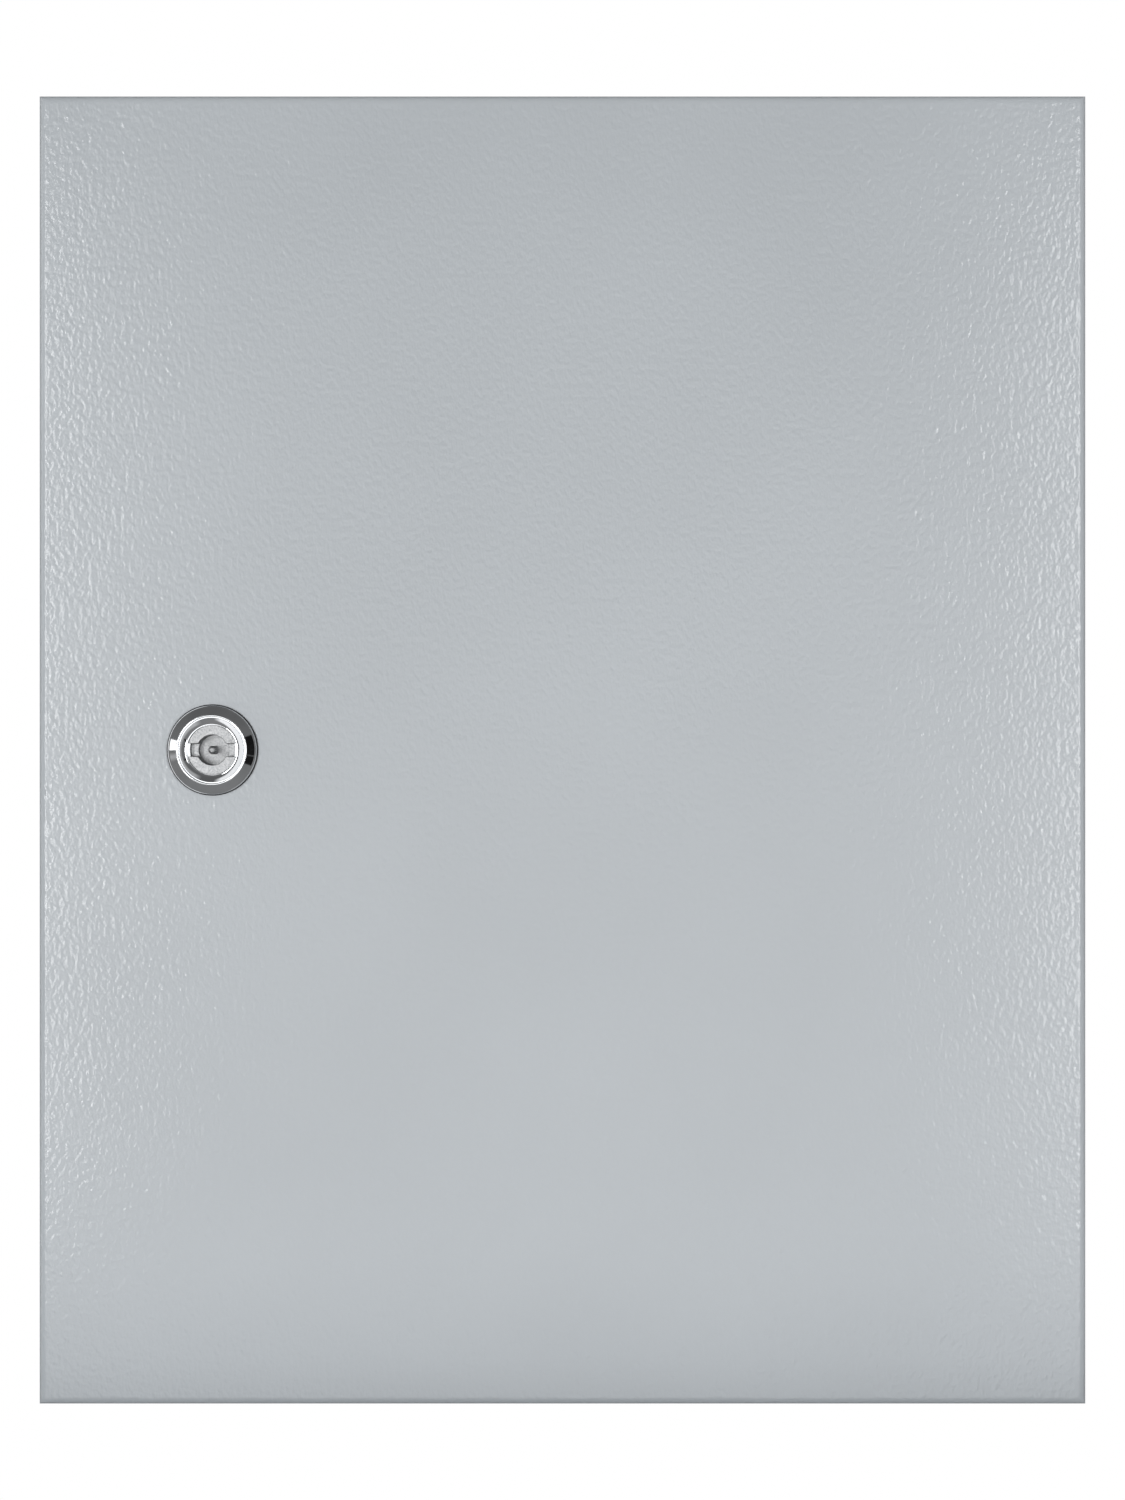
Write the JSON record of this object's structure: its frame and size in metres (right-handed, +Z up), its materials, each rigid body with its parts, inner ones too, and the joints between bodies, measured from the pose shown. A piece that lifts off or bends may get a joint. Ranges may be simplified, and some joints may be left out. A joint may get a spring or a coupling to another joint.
{
  "type": "wall-mounted electrical enclosure",
  "caption": "Sheet steel wall enclosure with a hinged overlapping door, foamed seal, quarter-turn lock, mounting plate and cable gland plate.",
  "frame": {"origin": "middle of the four wall fixing holes, in the plane of the wall, which the back panel's pads stand on", "axes": "+Y into the wall, so the door faces -Y; +Z up; +X towards the hinges"},
  "size_m": [0.4, 0.2039, 0.5],
  "materials": {
    "powder_coat": "light grey powder coat with an orange-peel texture, semi-matt",
    "galvanised_plate": "hot-dip galvanised sheet with a fine spangle",
    "zinc_plated_steel": "bright zinc plating",
    "copper_plated_stud": "copper-plated weld stud",
    "foam_seal": "foamed-in-place polyurethane with a smooth skin",
    "black_rubber": "matt black rubber",
    "chrome_plate": "polished chrome plate",
    "nickel_plated_casting": "zinc die casting, nickel plated, satin"
  },
  "bodies": {
    "case": {"case_wrap": "powder_coat", "back_panel": "powder_coat", "hinge_bracket_upper": "zinc_plated_steel", "hinge_bracket_lower": "zinc_plated_steel", "hinge_screws_upper": "zinc_plated_steel", "hinge_screws_lower": "zinc_plated_steel", "hinge_nuts_upper": "zinc_plated_steel", "hinge_nuts_lower": "zinc_plated_steel", "hinge_pin_upper": "zinc_plated_steel", "hinge_pin_lower": "zinc_plated_steel", "mounting_plate": "galvanised_plate", "plate_studs": "copper_plated_stud", "plate_spacers": "zinc_plated_steel", "plate_washers": "zinc_plated_steel", "plate_nuts": "zinc_plated_steel", "gland_plate": "powder_coat", "gland_gasket": "black_rubber", "gland_studs": "copper_plated_stud", "gland_nuts": "zinc_plated_steel", "case_earth_stud": "copper_plated_stud", "case_earth_washers": "zinc_plated_steel", "case_earth_nut": "zinc_plated_steel"},
    "door": {"door_panel": "powder_coat", "door_seal": "foam_seal", "door_rail_left": "powder_coat", "door_rail_right": "powder_coat", "door_knuckle_upper": "zinc_plated_steel", "door_knuckle_lower": "zinc_plated_steel", "knuckle_studs": "copper_plated_stud", "knuckle_nuts": "zinc_plated_steel", "door_earth_stud": "copper_plated_stud", "door_earth_washers": "zinc_plated_steel", "door_earth_nut": "zinc_plated_steel", "lock_seal": "black_rubber", "lock_housing": "chrome_plate", "lock_washer": "zinc_plated_steel", "lock_nut": "zinc_plated_steel"},
    "lock_core": {"lock_insert": "nickel_plated_casting", "lock_o_ring": "black_rubber", "lock_stop_disc": "zinc_plated_steel", "lock_cam": "zinc_plated_steel", "cam_washer": "zinc_plated_steel", "cam_screw": "zinc_plated_steel"}
  },
  "joints": [
    {"name": "door_hinge", "type": "hinge", "parent": "case", "child": "door", "pos_m": [0.193, -0.192, 0], "axis": [0, 0, 1], "range_deg": [0, 120]},
    {"name": "lock_turn", "type": "hinge", "parent": "door", "child": "lock_core", "pos_m": [-0.1335, -0.19, 0], "axis": [0, 1, 0], "range_deg": [0, 90]}
  ]
}
